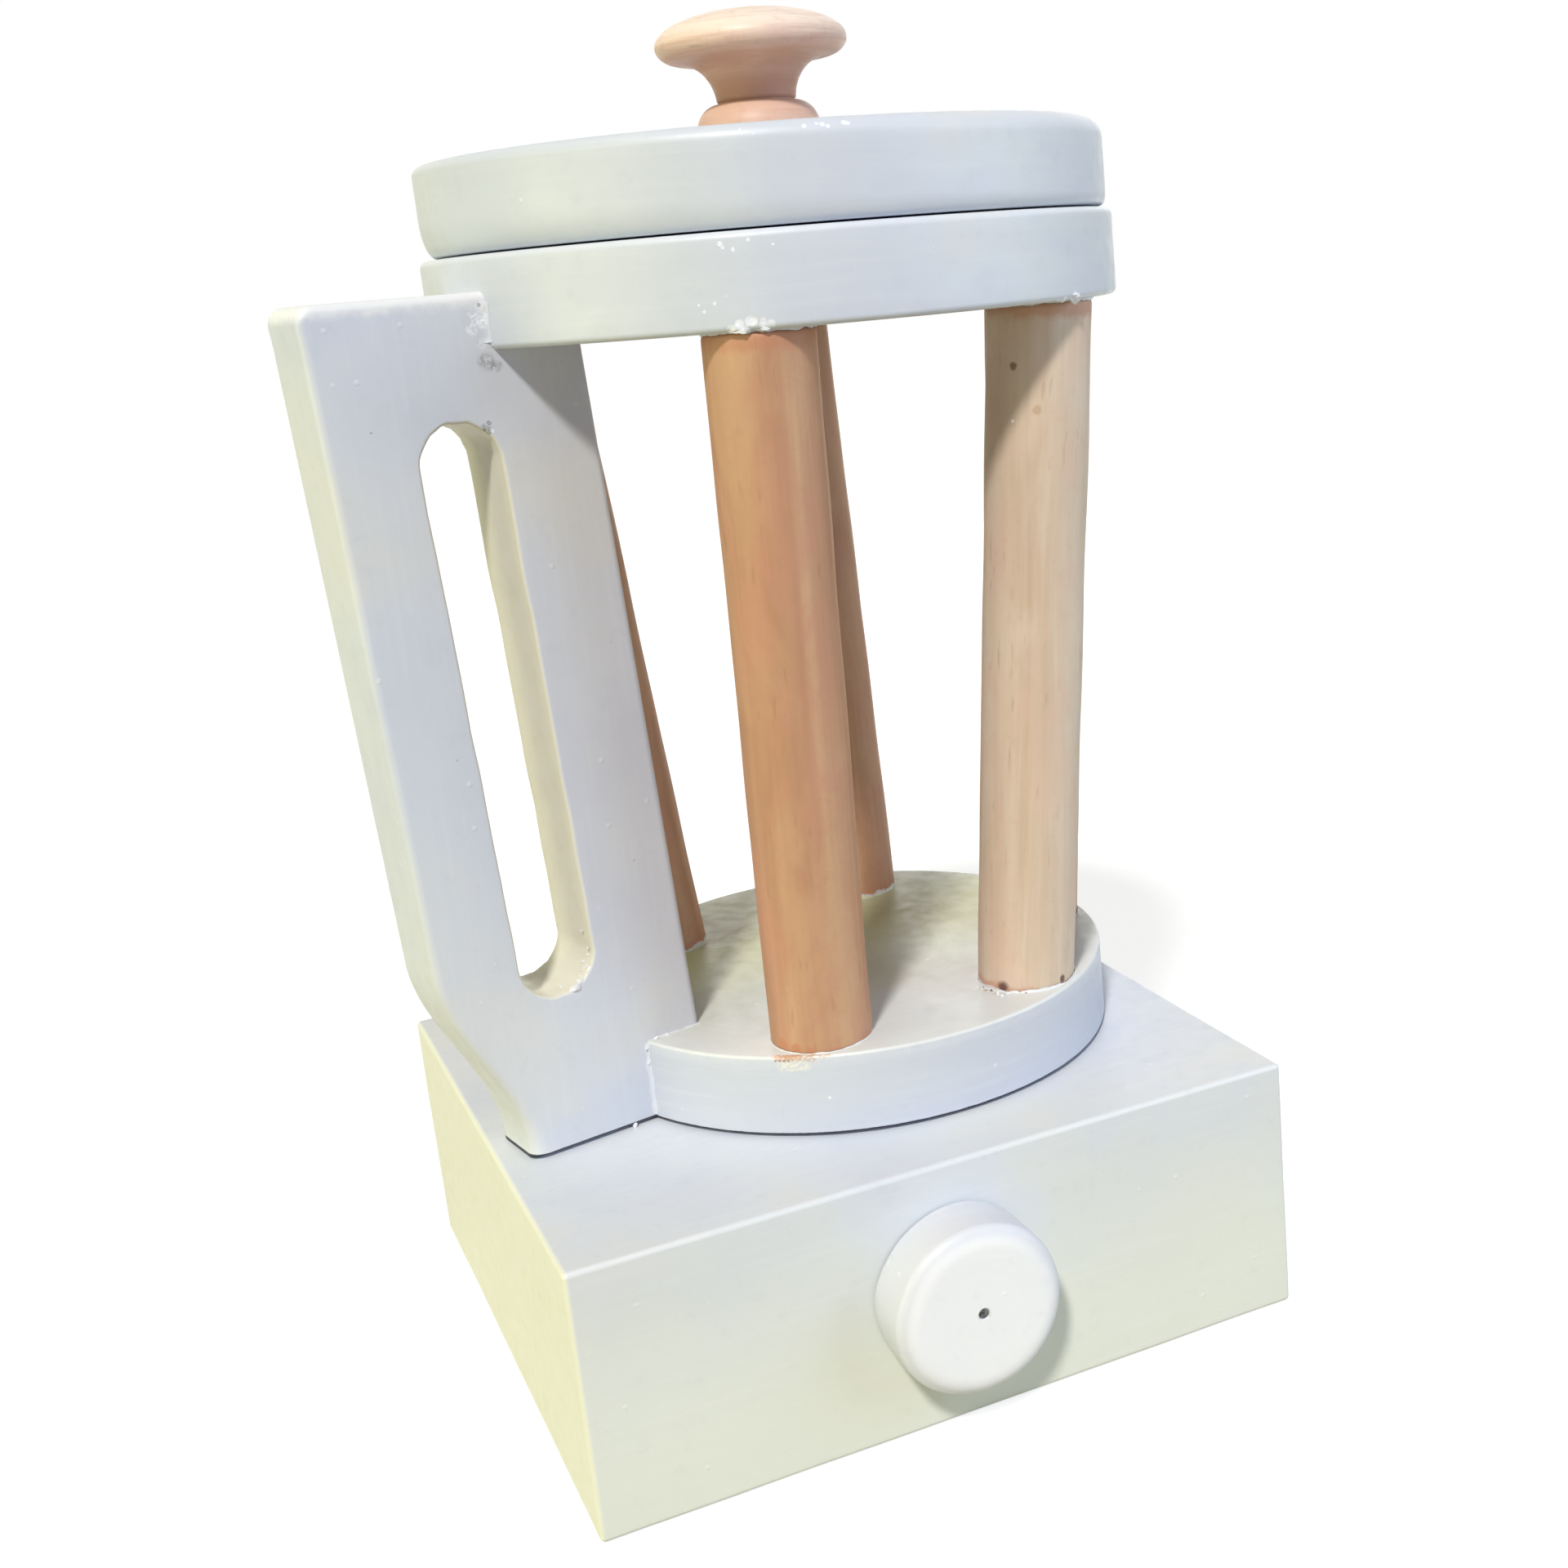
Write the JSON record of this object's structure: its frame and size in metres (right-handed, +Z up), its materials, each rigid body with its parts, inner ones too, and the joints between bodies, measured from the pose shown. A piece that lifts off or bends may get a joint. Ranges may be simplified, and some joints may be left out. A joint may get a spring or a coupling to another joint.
{
  "type": "toy blender",
  "caption": "Toy blender of painted boards: a box base with a turning dial, a jug of leaning round posts with a board handle, and a lift-off knobbed lid.",
  "frame": {"origin": "middle of the base's underside", "axes": "+Z up through the jug, -Y out of the face with the dial, +X to the right of someone who faces the dial"},
  "size_m": [0.182, 0.1668, 0.2879],
  "materials": {
    "paint": "pale blue-grey satin paint over board",
    "dial_paint": "white satin paint over wood",
    "post_wood": "bare tan timber, sanded",
    "pale_wood": "bare pale timber, sanded",
    "knob_wood": "bare turned wood, sanded",
    "bare_wood": "bare board",
    "fasteners": "zinc-plated steel"
  },
  "bodies": {
    "base": {"base_top": "paint", "base_front": "paint", "base_back": "paint", "base_left": "paint", "base_right": "paint", "base_panel": "bare_wood", "corner_nails": "fasteners", "top_nails": "fasteners", "dial_nail": "fasteners"},
    "dial": {"dial": "dial_paint"},
    "peg": {"jug_peg": "bare_wood"},
    "jug": {"jug_floor": "paint", "post_front": "post_wood", "post_right_front": "pale_wood", "post_right_rear": "post_wood", "post_rear": "post_wood", "post_left_rear": "post_wood", "jug_ring": "paint", "handle": "paint", "floor_screws": "fasteners", "ring_screws": "fasteners"},
    "lid": {"lid": "paint", "lid_plug": "paint", "knob": "knob_wood", "knob_screw": "fasteners", "plug_screws": "fasteners"}
  },
  "joints": [
    {"name": "dial_turn", "type": "hinge", "parent": "base", "child": "dial", "pos_m": [-0.0015, -0.075, 0.0305], "axis": [0, -1, 0], "continuous": true},
    {"name": "jug_turn", "type": "hinge", "parent": "base", "child": "peg", "pos_m": [0.011, 0.0045, 0.058], "axis": [0, 0, 1], "continuous": true},
    {"name": "jug_lift", "type": "slide", "parent": "peg", "child": "jug", "axis": [0, 0, 1], "range_m": [0, 0.04]},
    {"name": "lid_lift", "type": "slide", "parent": "jug", "child": "lid", "axis": [0, 0, 1], "range_m": [0, 0.06]}
  ]
}
